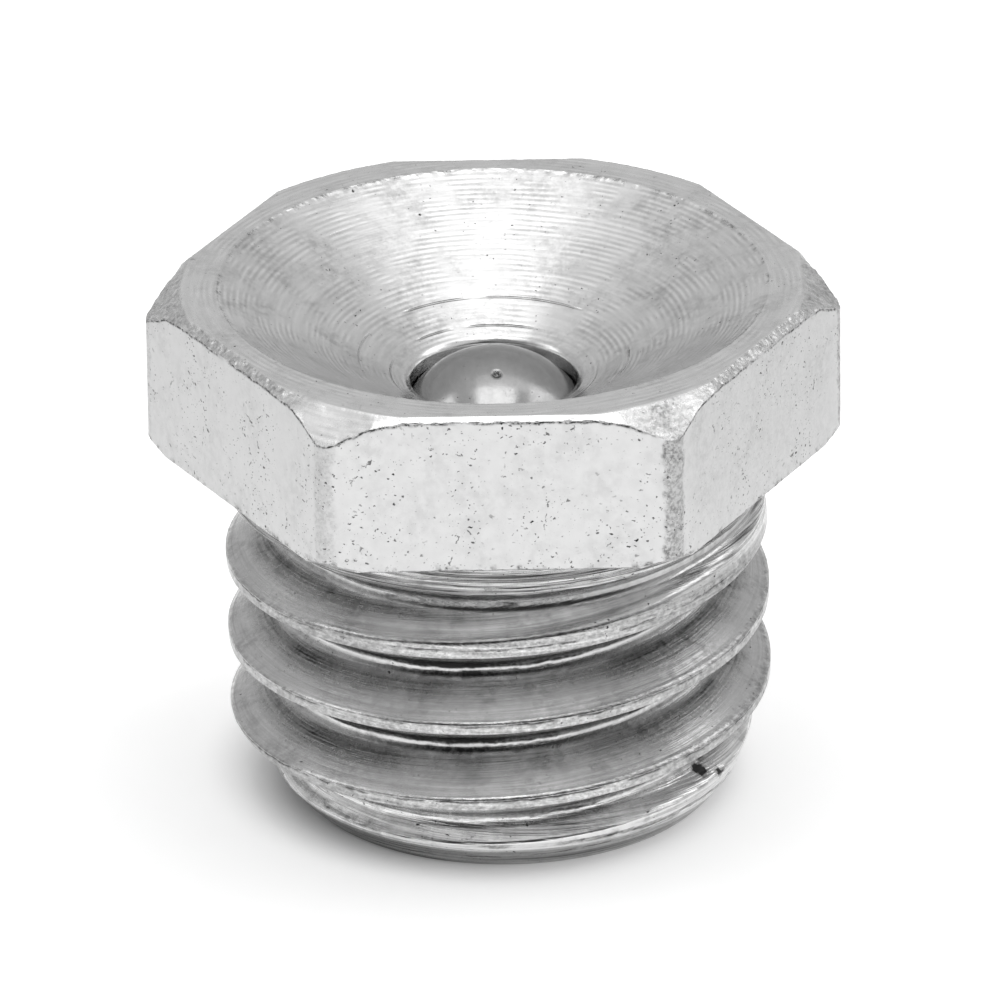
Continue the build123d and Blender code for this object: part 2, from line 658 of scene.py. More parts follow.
    def specks(self, board: Board, place: Wire) -> Wire:
        """Pits and specks in the surface, thicker in some patches.

        Args:
            board: The node tree to add to.
            place: Place on the object in millimetres.

        Returns:
            1 inside a speck and 0 outside.
        """
        small_spacing, large_spacing, small_size = 0.055, 0.2, self.speck_size * 0.42
        bend_size, cracks_per_mm, crack_edge, crack_middle = 0.10, 1.1, 0.016, 0.006
        bend = board.add(
            "ShaderNodeTexNoise", {}, {"Vector": place, "Scale": 16.0, "Detail": 3.0}, "Color"
        )
        bent = place.shifted(bend.times((bend_size, bend_size, bend_size)))
        patch = SPECK_PATCHES.over(board, place)
        small = board.specks(bent, small_spacing, small_size, self.speck_share)
        flat = bent.times((1.0, 1.0, 1.7))
        large = board.specks(flat, large_spacing, self.speck_size, self.speck_share)
        crack = board.cells(bent, cracks_per_mm, "DISTANCE_TO_EDGE")
        crack = crack.graded(crack_edge, crack_middle) * CRACK_STRETCHES.over(board, place)
        pits = (small * (patch * 0.9 + 0.1)).most(large * (patch * 0.7 + 0.3))
        return pits.most(crack * patch * self.speck_share)


@dataclass(frozen=True)
class Paper:
    """Matt pale sweep under the part, with a painted glow that is cut close to the part, as a
    painted shadow.

    Attributes:
        name: Name of the material.
        tone: Share of light that it reflects.
        fibre: How much its fibres change the tone.
        glow: Strength of the floor's painted glow.
        centre: Middle of the painted shadow, as x and y.
        shadow: Radii between which the painted shadow fades.
        half_shade: Radii between which its weak outer part fades.
        half_shade_share: Share of the shadow that is the outer part.
        sides: Distances beside the axis between which the painted glow weakens.
        side_glow: Share of the painted glow that is left there.
    """

    name: str
    tone: float = 0.825
    fibre: float = 0.01
    glow: float = 0.475
    centre: tuple[float, float] = (-0.35, 0.35)
    shadow: tuple[float, float] = (2.8, 4.2)
    half_shade: tuple[float, float] = (4.0, 9.0)
    half_shade_share: float = 0.13
    sides: tuple[float, float] = (8.0, 18.0)
    side_glow: float = 0.42

    def make(self) -> bpy.types.Material:
        """Builds the material.

        Returns:
            The material, with a faint fibre grain.
        """
        material = bpy.data.materials.new(self.name)
        material.use_nodes = True
        board = Board(material.node_tree)
        place = board.place()
        x, y, _ = board.parts(place)
        # Painted shadow: the glow is cut close to the part, round a centre a little to the left and
        # back, and weakens far to the sides.
        left, back = x - self.centre[0], y - self.centre[1]
        reach = (left * left + back * back) ** 0.5
        away = reach.graded(*self.shadow) * (1.0 - self.half_shade_share)
        away = away + reach.graded(*self.half_shade) * self.half_shade_share
        far_glow = board.greys(1.0, self.side_glow, abs(x).graded(*self.sides))
        fibres = board.noise(place, 2.0, detail=3.0, rough=0.6)
        shader = board.add(
            "ShaderNodeBsdfPrincipled",
            {},
            {
                "Base Color": board.greys(self.tone - self.fibre, self.tone + self.fibre, fibres),
                "Roughness": 0.9,
                "Specular IOR Level": 0.0,
                "Emission Color": board.greys(0.0, far_glow, away),
                "Emission Strength": self.glow,
            },
        )
        board.add("ShaderNodeOutputMaterial", {}, {"Surface": shader})
        return material


# ---- Meshes --------------------------------------------------------------------------------------


@dataclass
class Skin:
    """A sheet of four-sided faces through a grid of points.

    The grid has rows along the profile and columns round the axis, counted as
    seen from above, anticlockwise. The profile runs so that the outside is on
    the right of its travel when it is seen with the axis upright and to its left.

    Attributes:
        name: Name of the piece.
        points: Places, as rows and columns with x, y and z last.
        soil_and_painted_light: Dirt and painted shade at each point, and painted highlights below
            0.
        first_row: The row at which the sheet starts.
        last_row: The row at which it ends.
        lead_rows: Rows by which the last column meets the first one higher.
        smallest_face: Twice the area, in square millimetres, below which a face is dropped.
    """

    name: str
    points: np.ndarray
    soil_and_painted_light: np.ndarray
    first_row: int = 0
    last_row: int = -1
    lead_rows: int = 0
    smallest_face: float = 1e-7

    def build(self) -> bpy.types.Object:
        """Makes the mesh object from the rows that the sheet covers.

        Returns:
            The object, in metres and smooth shaded.
        """
        flat = self.points.reshape(-1, 3)
        used, index = np.unique(self.faces(flat), return_inverse=True)
        mesh = bpy.data.meshes.new(self.name)
        mesh.from_pydata((flat[used] * MM).tolist(), [], index.reshape(-1, 4).tolist())
        mesh.polygons.foreach_set("use_smooth", [True] * len(mesh.polygons))
        layer = mesh.attributes.new("soil_and_painted_light", "FLOAT", "POINT")
        layer.data.foreach_set("value", self.soil_and_painted_light.reshape(-1)[used].astype(np.float32))
        mesh.update()
        piece = bpy.data.objects.new(self.name, mesh)
        bpy.context.scene.collection.objects.link(piece)
        return piece

    def faces(self, flat: np.ndarray) -> np.ndarray:
        """Joins neighbouring points to faces, and drops those without area.

        Args:
            flat: The points, one after another.

        Returns:
            Four point numbers for each face.
        """
        rows, columns, _ = self.points.shape
        row, column = np.meshgrid(
            np.arange(self.first_row, self.last_row % rows), np.arange(columns), indexing="ij"
        )
        beyond = column + 1 == columns
        across = np.where(beyond, 0, column + 1)
        shift = np.where(beyond, self.lead_rows, 0)
        corners = np.stack(
            [
                row * columns + column,
                (row + 1) * columns + column,
                (row + 1 + shift) * columns + across,
                (row + shift) * columns + across,
            ],
            axis=-1,
        )
        quads = corners[(row + shift >= 0) & (row + 1 + shift < rows)]
        first, second, third, fourth = (flat[quads[:, corner]] for corner in range(4))
        area = np.linalg.norm(np.cross(third - first, fourth - second), axis=1)
        return quads[area > self.smallest_face]


def round_grid(radii: np.ndarray, heights: np.ndarray, bearings: np.ndarray) -> np.ndarray:
    """Places a grid of radii and heights round the axis.

    Args:
        radii: Distances from the axis, as rows and columns.
        heights: Heights, as rows and columns.
        bearings: Bearing of each column.

    Returns:
        Points with x, y and z last.
    """
    turn = np.radians(bearings)
    return np.stack([radii * np.cos(turn), radii * np.sin(turn), heights], axis=-1)


def run_out_of_true(height: np.ndarray) -> np.ndarray:
    """Offset of the shank's axis along x: it leans a little and its turned end is eccentric.

    Args:
        height: Heights.

    Returns:
        The offset at each height.
    """
    lean_slope, eccentric, plain_from, plain_to = 0.012, 0.07, -4.2, -4.7
    lean = -np.minimum(height, 0.0) * lean_slope
    return lean + smooth_step(height, plain_from, plain_to) * eccentric


def mount(piece: bpy.types.Object, body: str, node: str, finish: Metal) -> None:
    """Lays a piece on its body and gives it its finish.

    Args:
        piece: The finished object.
        body: CAD body that it moves with.
        node: CAD node that it stands for.
        finish: The metal that it is made of.
    """
    piece.data.materials.append(finish.make())
    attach(piece, body)
    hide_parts(node)
    log.info("%s: %d faces on %s", piece.name, len(piece.data.polygons), body)


@dataclass
class HeadZones:
    """Where each part of the head's surface is, from 0 to 1 at each point of its grid.

    Attributes:
        side: The flats and the bar's corners.
        chamfer: The turned corners beside the rim.
        corner: The bar's corners, with a ragged edge.
        near_mouth: The funnel's mouth.
        near_rim: The rim's outer edge.
        near_top: The top edge of the flats.
        near_foot: The lower edge of the flats.
        beside: The flats beside the front one.
        below: Distance below the top edge of the flats.
    """

    side: np.ndarray
    chamfer: np.ndarray
    corner: np.ndarray
    near_mouth: np.ndarray
    near_rim: np.ndarray
    near_top: np.ndarray
    near_foot: np.ndarray
    beside: np.ndarray
    below: np.ndarray


@dataclass
class HexHead:
    """The hexagon head with its funnel, rim, chamfers and seating face.

    Attributes:
        across_flats: Width of the hexagon.
        top: Height of the rim.
        bar_corner_radius: Radius of the bar's rolled corners.
        rim_width: Width of the rim at the middle of a flat.
        top_circle_margin: How far the rim's circle reaches past the flats.
        under_circle_margin: How far the seating face reaches past the flats.
        under_slope: Rise of the lower chamfers.
        funnel_depth: Depth of the funnel's cone.
        throat_radius: Radius of the bore under the cone.
        throat_length: Length of that bore.
        seat_radius: Radius at the foot of the ball's seat.
        seat_height: Height of that foot.
        neck_radius: Radius at which the shank starts.
        seat_raise: How far the seating face lies above the plain neck's end.
        mouth_lead: Width of the rounding inside the mouth.
        mouth_drop: Depth of that rounding.
        mouth_land: Width of the rounding outside the mouth.
        mouth_offset: How far the mouth is off-centre, to the back.
        edge_break: Width of the broken edge over the front flat.
        rough_break: The same over the two flats beside it.
        fine_break: The same at the back.
        fade_drop: Depth of the chamfers over which the broken edge fades.
        foot_break: Width and height of the broken lower edge.
        foot_land: Least width that is left flat inside it.
        columns: Number of points round the axis.
    """

    across_flats: float
    top: float
    bar_corner_radius: float = 0.32
    rim_width: float = 0.42
    top_circle_margin: float = 0.22
    under_circle_margin: float = 0.43
    under_slope: float = math.tan(math.radians(30))
    funnel_depth: float = 1.5
    throat_radius: float = 1.249
    throat_length: float = 0.24
    seat_radius: float = 1.65
    seat_height: float = 0.0655
    neck_radius: float = 3.98
    seat_raise: float = 0.02
    mouth_lead: float = 0.02
    mouth_drop: float = 0.022
    mouth_land: float = 0.015
    mouth_offset: float = 0.09
    edge_break: float = 0.075
    rough_break: float = 0.12
    fine_break: float = 0.02
    fade_drop: float = 0.15
    foot_break: float = 0.03
    foot_land: float = 0.005
    columns: int = 1440

    def off_corner(self, bearings: np.ndarray) -> np.ndarray:
        """Angle from the nearest corner of the hexagon, with its sign."""
        return (bearings + HEX_TURN / 2) % HEX_TURN - HEX_TURN / 2

    def bar_radius(self, bearings: np.ndarray) -> np.ndarray:
        """Distance from the axis to the side of the bar.

        Args:
            bearings: The bearings.

        Returns:
            The distance at each bearing.
        """
        half = self.across_flats / 2
        cosine = math.cos(math.radians(HEX_TURN / 2))
        off_corner = np.radians(self.off_corner(bearings))
        off_flat = math.radians(HEX_TURN / 2) - np.abs(off_corner)
        centre = (half - self.bar_corner_radius) / cosine
        reach = self.bar_corner_radius**2 - (centre * np.sin(off_corner)) ** 2
        corner = centre * np.cos(off_corner) + np.sqrt(np.maximum(reach, 0.0))
        tangent = math.atan2(self.bar_corner_radius / 2, centre + self.bar_corner_radius * cosine)
        return np.where(np.abs(off_corner) < tangent, corner, half / np.cos(off_flat))

    def break_size(self, bearings: np.ndarray) -> np.ndarray:
        """Width of the broken top edge: thick burrs on the two flats beside the front.

        Args:
            bearings: The bearings.

        Returns:
            The width at each bearing.
        """
        front_edge, front_end, back_edge, back_end = 30, 40, 96, 104
        turned = turned_from(bearings, FRONT)
        beside = smooth_step(turned, front_edge, front_end)
        beside = beside * smooth_step(turned, back_end, back_edge)
        behind = smooth_step(turned, back_edge, back_end)
        size = self.edge_break + (self.rough_break - self.edge_break) * beside
        return size + (self.fine_break - self.edge_break) * behind

    def profile(self, bearings: np.ndarray) -> list[tuple[str, int, np.ndarray, np.ndarray]]:
        """The corners of the profile at every bearing, from the seat up and over.

        Args:
            bearings: The bearings.

        Returns:
            For each corner its name, the rows down to it, its radii and its heights.
        """
        plain = np.ones_like(bearings)
        bar = self.bar_radius(bearings)
        mouth = self.across_flats / 2 - self.rim_width
        circle = self.across_flats / 2 + self.top_circle_margin
        under = self.across_flats / 2 + self.under_circle_margin
        broken = self.break_size(bearings)
        drop = np.maximum(bar - circle, 0.0)
        height_share = 0.9 * np.clip(1.0 - drop / self.fade_drop, 0.0, 1.0)
        throat_top = self.top - self.funnel_depth
        lift = np.maximum(bar - under, 0.0) * self.under_slope + self.seat_raise
        flat_under = np.minimum(bar - self.foot_break - self.foot_land, under)
        edge_top, edge_radius = self.top - self.mouth_drop, mouth - self.mouth_lead
        throat_foot = throat_top - self.throat_length
        return [
            ("seat", 0, plain * self.seat_radius, plain * self.seat_height),
            ("throat_foot", 6, plain * self.throat_radius, plain * throat_foot),
            ("throat_head", 6, plain * self.throat_radius, plain * throat_top),
            ("mouth_edge", 40, plain * edge_radius, plain * edge_top),
            ("mouth", 3, plain * (mouth + self.mouth_land), plain * self.top),
            ("rim", 14, np.minimum(bar, circle) - broken, plain * self.top),
            ("shoulder", 10, bar, self.top - drop - broken * height_share),
            ("foot", 54, bar, lift + self.foot_break),
            ("toe", 3, bar - self.foot_break, lift),
            ("under_circle", 6, flat_under, plain * self.seat_raise),
            ("neck", 12, plain * self.neck_radius, plain * self.seat_raise),
        ]

    def grid(self) -> tuple[np.ndarray, np.ndarray, dict[str, int]]:
        """Runs the profile round the head and adds the wear.

        Returns:
            The points, the dirt and painted light at each point, and the row of each named corner.
        """
        mouth_crowding = 0.55
        bearings = np.arange(self.columns) * FULL_TURN / self.columns
        corners = self.profile(bearings)
        radii, heights, rows = [corners[0][2]], [corners[0][3]], {corners[0][0]: 0}
        for (_, _, old_r, old_z), (name, count, new_r, new_z) in zip(corners, corners[1:]):
            count = count
            for step in range(1, count + 1):
                share = step / count
                if name == "foot":
                    share = 0.5 - 0.5 * math.cos(math.pi * share)
                if name == "mouth_edge":
                    share += mouth_crowding * math.sin(math.pi * share) / math.pi
                radii.append(old_r + (new_r - old_r) * share)
                heights.append(old_z + (new_z - old_z) * share)
            rows[name] = len(radii) - 1
        points = round_grid(np.array(radii), np.array(heights), bearings)
        order = np.arange(points.shape[0])[:, None]
        marks = (rows["throat_head"], rows["mouth"], rows["rim"])
        points[..., 1] += np.interp(order, marks, (0.0, self.mouth_offset, 0.0))
        grain = Grain(11)
        zones = self.zones(points, bearings, rows, grain)
        worn = self.burred(points, bearings, zones, grain)
        return worn, self.soil_and_painted_light(points, bearings, zones, grain), rows

    def zones(
        self, points: np.ndarray, bearings: np.ndarray, rows: dict[str, int], grain: Grain
    ) -> HeadZones:
        """Finds the parts of the surface.

        Args:
            points: The clean points.
            bearings: Bearing of each column.
            rows: Row of each named corner.
            grain: The random field.

        Returns:
            The zones.
        """
        rim_rows, mouth_rows, mouth_shift = 1.2, 2.0, 1.5
        top_height, foot_height = 0.05, 0.06
        corner_edge, corner_full, raggedness = 2.2, 1.5, 0.9
        order = np.arange(points.shape[0])[:, None]
        height = points[..., 2]
        side = ((order >= rows["shoulder"]) & (order <= rows["foot"])).astype(float)
        below = height[rows["shoulder"]][None, :] - height
        above = height - height[rows["foot"]][None, :]
        outside = (order >= rows["shoulder"]) & (order <= rows["toe"])
        turned = turned_from(bearings, FRONT)[None, :]
        ragged = grain.rough(points, 0.2, step=29, squeeze=1.8)
        off_corner = np.abs(self.off_corner(bearings))[None, :] + raggedness * ragged
        return HeadZones(
            side=side,
            chamfer=((order > rows["rim"]) & (order <= rows["shoulder"])).astype(float),
            corner=smooth_step(off_corner, corner_edge, corner_full) * side,
            near_mouth=ridge(order, rows["mouth"] - mouth_shift, mouth_rows),
            near_rim=ridge(order, rows["rim"], rim_rows),
            near_top=ridge(below, 0.0, top_height) * side,
            near_foot=ridge(above, 0.0, foot_height) * outside,
            beside=smooth_step(turned, 34, 44) * smooth_step(turned, 104, 96),
            below=below,
        )

    def burred(
        self, points: np.ndarray, bearings: np.ndarray, zones: HeadZones, grain: Grain
    ) -> np.ndarray:
        """Adds burrs and dents, and keeps them inside the bar.

        Args:
            points: The clean points.
            bearings: Bearing of each column.
            zones: The parts of the surface.
            grain: The random field.

        Returns:
            The worn points.
        """
        lump_spacing, axis_step, clearance = 0.085, 40, 0.002
        rim_burr, mouth_burr, foot_burr, corner_burr = 0.007, 0.016, 0.010, 0.006
        top_burr, top_burr_beside = 0.007, 0.008
        chamfer_burr, chamfer_burr_beside = 0.002, 0.014
        size = (
            zones.near_rim * rim_burr
            + zones.near_mouth * mouth_burr
            + zones.near_top * (top_burr + top_burr_beside * zones.beside)
            + zones.near_foot * foot_burr
            + zones.chamfer * (chamfer_burr + chamfer_burr_beside * zones.beside)
            + zones.corner * corner_burr
        )
        lump = np.stack(
            [grain.rough(points, lump_spacing, step=axis_step * axis) for axis in range(3)],
            axis=-1,
        )
        worn = points + lump * size[..., None]
        worn[..., 2] = np.minimum(worn[..., 2], self.top)
        limit = self.bar_radius(bearings)[None, :] - clearance
        reach = np.hypot(worn[..., 0], worn[..., 1])
        worn[..., :2] *= np.minimum(1.0, limit / reach)[..., None]
        return worn

    def soil_and_painted_light(
        self, points: np.ndarray, bearings: np.ndarray, zones: HeadZones, grain: Grain
    ) -> np.ndarray:
        """Dark nicks, spots, patches and wrinkles; painted shade as a dark line under the top edge
        of the flats and over the front right chamfer; painted glints on the nicks of the mouth.

        Args:
            points: The clean points.
            bearings: Bearing of each column.
            zones: The parts of the surface.
            grain: The random field.

        Returns:
            The dirt and painted light at each point.
        """
        line_below, line_width, jag_size, line_dark = 0.02, 0.019, 0.025, 0.95
        foot_dark, corner_dark, corner_dark_right = 0.6, 0.21, 0.32
        chamfer_dark, front_right_painted_shade = 0.4, 0.5
        nick_dark, nick_glint, right_flat_patch_dark = 0.5, 0.8, 0.16
        # Painted shade: a dark jagged line just under the top edge of the flats, where the burred
        # edge shades them.
        jag = grain.rough(points, 0.14) * jag_size
        line = ridge(zones.below + jag, line_below, line_width) * zones.side
        line = line * smooth_step(grain.rough(points, 0.5), -0.5, -0.05) * line_dark
        spots = smooth_step(grain.rough(points, 0.09, step=9), 0.0, 0.35)
        wrinkle = 0.75 + 0.6 * grain.rough(points, 0.09, step=17, squeeze=1.7)
        nicks = grain.rough(points, 0.11, step=71)
        right_flat_patches = grain.rough(points, 0.5, step=61, squeeze=0.5, layers=4) * 0.5 + 0.5
        to_right = smooth_step(bearings, 260, 300)[None, :]
        front_right = ridge(bearings, 300, 8)[None, :]
        right_flat = (smooth_step(bearings, 302, 308) * smooth_step(bearings, 359, 352))[None, :]
        corner = zones.corner * np.clip(wrinkle, 0.0, 1.0)
        soil_and_painted_light = np.zeros(points.shape[:2])
        for layer in (
            line,
            zones.near_foot * spots * foot_dark,
            corner * (corner_dark + corner_dark_right * to_right),
            zones.chamfer * zones.beside * wrinkle * chamfer_dark,
            # Painted shade: the front right chamfer is darkened where it catches the right lamp too
            # brightly.
            zones.chamfer * front_right * np.clip(wrinkle, 0.3, 1.0) * front_right_painted_shade,
            zones.near_mouth * smooth_step(nicks, 0.05, 0.35) * nick_dark,
        ):
            soil_and_painted_light = np.maximum(soil_and_painted_light, layer)
        # Painted glints: bright spots on the nicks of the mouth.
        soil_and_painted_light = soil_and_painted_light - zones.near_mouth * smooth_step(nicks, -0.05, -0.35) * nick_glint
        # Darker patches on the right flat.
        return np.maximum(soil_and_painted_light, zones.side * right_flat * right_flat_patches * right_flat_patch_dark)

    def build(self) -> None:
        """Makes and dresses the pieces of the head."""
        points, soil_and_painted_light, rows = self.grid()
        faced = Metal(
            "plated_funnel",
            Lay.FACED,
            roughness=0.22,
            line_pitch=0.085,
            line_depth=0.0064,
            line_shade=0.66,
            feed_share=0.32,
            ring_marks=(1.53, 2.0),
            speck_share=0.15,
            blotches=0.38,
        )
        rim = Metal(
            "plated_rim",
            Lay.FACED,
            tone=0.77,
            roughness=0.24,
            line_depth=0.005,
            line_shade=0.6,
            feed_share=0.2,
            speck_share=0.15,
            blotches=0.25,
        )
        flats = Metal(
            "plated_flats",
            Lay.DRAWN,
            tone=0.69,
            roughness=0.36,
            line_depth=0.0004,
            line_shade=0.04,
            speck_share=0.8,
            speck_size=0.031,
            blotches=0.12,
        )
        under = Metal("plated_seating_face", Lay.FACED, roughness=0.3, speck_share=0.2)
        for name, start, end, finish in (
            ("funnel_wall", "seat", "mouth", faced),
            ("head_rim", "mouth", "shoulder", rim),
            ("head_flats", "shoulder", "foot", flats),
            ("head_seating_face", "foot", "neck", under),
        ):
            skin = Skin(name, points, soil_and_painted_light, rows[start], rows[end])
            mount(skin.build(), "body", "nipple_body", finish)


@dataclass
class ShankGrid:
    """The clean grid of the shank, and where each of its points is.

    Attributes:
        points: Places, as rows and columns with x, y and z last.
        radii: Distance from the axis.
        heights: Height.
        bearing: Bearing.
        depth: Depth below the turned outline.
        phase: Share of a pitch below the groove's centre.
        ragged: The same with a ragged change.
        sides: 0 at the front and 1 at the sides and the back.
        on_thread: 0 on the plain neck and 1 on the thread.
        grain: The random field that the wear is read from.
    """

    points: np.ndarray
    radii: np.ndarray
    heights: np.ndarray
    bearing: np.ndarray
    depth: np.ndarray
    phase: np.ndarray
    ragged: np.ndarray
    sides: np.ndarray
    on_thread: np.ndarray
    grain: Grain

    def outward(self) -> np.ndarray:
        """The direction away from the axis, as x and y."""
        return self.points[..., :2] / self.radii[..., None]


@dataclass
class ThreadedShank:
    """The plain neck, the thread with its run-out and the turned end.

    Attributes:
        foot: Height of the end face.
        radius: Radius of the crests.
        pitch: Pitch of the thread.
        half_mouth: Half the width of the groove at the crests.
        root_radius: Radius of the groove's root.
        root_centre_depth: Depth of the root's centre below the crests.
        flank_slope: Half the groove's width against its depth.
        first_groove: Height of the groove where the run-out begins.
        out_of_square: How far the helix leans to the back.
        run_out_bearing: Bearing at which the groove starts to fade.
        run_out_angle: Angle over which it fades.
        run_out_rise: How far its root rises there.
        run_out_power: How soon it rises, where 1 is evenly.
        run_out_dip: How far it sinks along the axis, as a share of the rise.
        columns: Number of points round the axis.
        seam_bearing: Bearing at which the mesh closes.
        head_seat: Height at which the shank meets the head.
        profile: Height and radius of the turned shank, from the foot up.
        holes: Bearing, height and size of the small holes at the end.
    """

    foot: float
    radius: float = 4.05
    pitch: float = 1.25
    half_mouth: float = 0.547
    root_radius: float = 0.18
    root_centre_depth: float = 0.587
    flank_slope: float = math.tan(math.radians(30))
    first_groove: float = -1.0
    out_of_square: float = 0.09
    run_out_bearing: float = -140.0
    run_out_angle: float = 216.0
    run_out_rise: float = 0.817
    run_out_power: float = 0.7
    run_out_dip: float = 0.2
    columns: int = 840
    seam_bearing: float = 90.0
    head_seat: float = 0.02
    profile: tuple[tuple[float, float], ...] = (
        (-5.5, 3.12),
        (-5.44, 3.21),
        (-5.1, 3.50),
        (-4.65, 3.66),
        (-4.35, 3.95),
        (-4.25, 4.05),
        (-1.3, 4.05),
        (-1.0, 4.0),
        (0.0, 4.0),
    )
    holes: tuple[tuple[float, float, float], ...] = (
        (-33.4, -4.62, 0.085),
        (-30.0, -4.50, 0.065),
        (-29.0, -4.74, 0.07),
        (-143.5, -4.69, 0.085),
    )

    def outline(self, height: np.ndarray) -> np.ndarray:
        """Radius of the turned shank before the thread is cut.

        Args:
            height: Heights.

        Returns:
            The radius at each height, with soft corners.
        """
        levels, sizes = np.array(self.profile).T
        spread = (-0.05, -0.025, 0.0, 0.025, 0.05)
        return sum(np.interp(height + step, levels, sizes) for step in spread) / len(spread)

    def line(self, bearing: np.ndarray, swept: np.ndarray) -> np.ndarray:
        """Height of the groove's centre, on a helix that is slightly out of square.

        Args:
            bearing: The bearings.
            swept: Angles swept since the run-out began.

        Returns:
            The height at each bearing.
        """
        tilt = self.out_of_square * np.sin(np.radians(bearing))
        return self.first_groove + self.pitch * swept / FULL_TURN + tilt

    def surface(self, bearing: np.ndarray, height: np.ndarray) -> np.ndarray:
        """Radius of the threaded shank.

        Args:
            bearing: The bearings.
            height: Heights.

        Returns:
            The radius at each place.
        """
        root_half = self.root_radius * math.cos(math.radians(30))
        found = self.outline(height)
        for turn in range(-7, 2):
            swept = bearing + FULL_TURN * turn - self.run_out_bearing
            faded = np.clip(swept / self.run_out_angle, 0.0, 1.0) ** self.run_out_power
            lifted = faded * self.run_out_rise
            off = np.abs(height - self.line(bearing, swept) + lifted * self.run_out_dip)
            flank = self.radius - (self.half_mouth - off) / self.flank_slope
            round_part = np.sqrt(np.maximum(self.root_radius**2 - off**2, 0.0))
            root = self.radius - self.root_centre_depth - round_part
            groove = np.where(off < root_half, root, flank) + lifted
            found = np.where(swept > self.run_out_angle, found, np.minimum(found, groove))
        return found

    def steps(self) -> np.ndarray:
        """Shares of one pitch at which the rows of the mesh lie, from a groove centre down."""
        crest_top, crest_foot, root_edge = 0.4376, 0.5624, 0.125
        root = np.array([0.0, 0.010, 0.022, 0.035, 0.05, 0.075, 0.1])
        flank = np.linspace(root_edge, crest_top, 11)[:-1]
        crest = np.array([crest_top, 0.446, 0.455, 0.466, 0.485, 0.515, 0.54, 0.553])
        rising = np.linspace(crest_foot, 1.0 - root_edge, 11)[:-1]
        end = np.array([1.0 - root_edge, 0.9, 0.925, 0.95, 0.965, 0.978, 0.99])
        shares = np.concatenate([root, flank, crest, rising, end])
        return shares

    def grid(self) -> ShankGrid:
        """Lays rows along the thread and columns round the shank.

        Returns:
            The clean grid, without wear.
        """
        jag_spacing, jag_size, front_end, side_start = 0.15, 0.018, 12, 45
        shares = self.steps()
        turns = range(-1, 7)
        bearings = self.seam_bearing + np.arange(self.columns) * FULL_TURN / self.columns
        base = self.line(bearings, bearings - self.run_out_bearing)
        drops = np.concatenate([shares + turn for turn in turns]) * self.pitch
        heights = np.clip(base[None, :] - drops[:, None], self.foot, self.head_seat)
        radii = self.surface(np.broadcast_to(bearings[None, :], heights.shape), heights)
        points = round_grid(radii, heights, bearings)
        phase = np.tile(np.tile(shares, len(turns))[:, None], (1, self.columns))
        grain = Grain(23)
        bearing = np.degrees(np.arctan2(points[..., 1], points[..., 0]))
        return ShankGrid(
            points=points,
            radii=radii,
            heights=heights,
            bearing=bearing,
            depth=self.outline(heights) - radii,
            phase=phase,
            ragged=phase + grain.rough(points, jag_spacing, step=13) * jag_size,
            sides=smooth_step(turned_from(bearing, FRONT), front_end, side_start),
            on_thread=smooth_step(heights, *THREAD_TOP),
            grain=grain,
        )

    def worn(self, grid: ShankGrid) -> np.ndarray:
        """Tears the crests, rings the neck and leans the shank.

        Args:
            grid: The clean grid.

        Returns:
            The worn points.
        """
        torn_spacing, torn_height = 0.12, 0.005
        ring_spacing, ring_height = 0.06, 0.012
        wave_spacing, wave_height = 0.9, 0.006
        foot_edge = 0.02
        below_head = smooth_step(grid.heights, 0.0, -0.05)
        crest = smooth_step(grid.radii, 3.86, 3.98) * grid.on_thread
        neck = smooth_step(grid.radii, 3.8, 3.96) * smooth_step(grid.heights, -1.3, -1.05)
        level = grid.points * (0.0, 0.0, 1.0)
        change = (
            crest * grid.grain.rough(grid.points, torn_spacing) * torn_height
            + neck * below_head * grid.grain.at(level, ring_spacing) * ring_height
            + below_head * grid.grain.rough(grid.points, wave_spacing, 31, layers=2) * wave_height
        )
        moved = grid.points.copy()
        clear = grid.heights > self.foot + foot_edge
        moved[..., :2] += grid.outward() * (change * clear)[..., None]
        moved[..., 0] += run_out_of_true(grid.heights)
        return moved

    def laps_and_highlights(self, grid: ShankGrid) -> np.ndarray:
        """Dark laps under the burrs of the crests, with a painted highlight along the edge over
        each.

        Args:
            grid: The clean grid.

        Returns:
            The dirt and painted light at each point.
        """
        lap_phase, lap_width, lap_dark = 0.456, 0.014, 0.95
        edge_phase, edge_width, edge_highlight = 0.437, 0.010, 0.7
        broken = smooth_step(grid.grain.rough(grid.points, 0.35, step=5), -0.35, 0.05)
        lap = ridge(grid.ragged, lap_phase, lap_width) * grid.on_thread
        edge = ridge(grid.ragged, edge_phase, edge_width) * grid.on_thread
        # The bright edge over each lap is a painted highlight.
        return lap * broken * lap_dark - edge * edge_highlight

    def groove_shade(self, grid: ShankGrid) -> np.ndarray:
        """Painted shade that thickens with depth and to the sides, and more painted shade over the
        sides, in clouds.

        Args:
            grid: The clean grid.

        Returns:
            The painted shade at each point.
        """
        front_dark, side_gain, side_shade_dark, low_loss = 0.42, 0.5, 0.24, 0.35
        cloud = 0.85 + 0.5 * grid.grain.rough(grid.points, 0.9, step=47)
        # Painted shade: darker deeper in each groove, where the crests shade it, darker at the
        # sides, and a little lighter low at the front.
        deep = smooth_step(grid.depth, 0.1, 0.62) * smooth_step(grid.phase, 0.11, 0.15)
        low_front = (1.0 - grid.sides) * smooth_step(grid.heights, -3.2, -3.5)
        darkening = deep * (front_dark + side_gain * grid.sides) * (1.0 - low_loss * low_front)
        side_shade = grid.sides * grid.on_thread * side_shade_dark
        return np.maximum(darkening, side_shade) * np.clip(cloud, 0.4, 1.3)

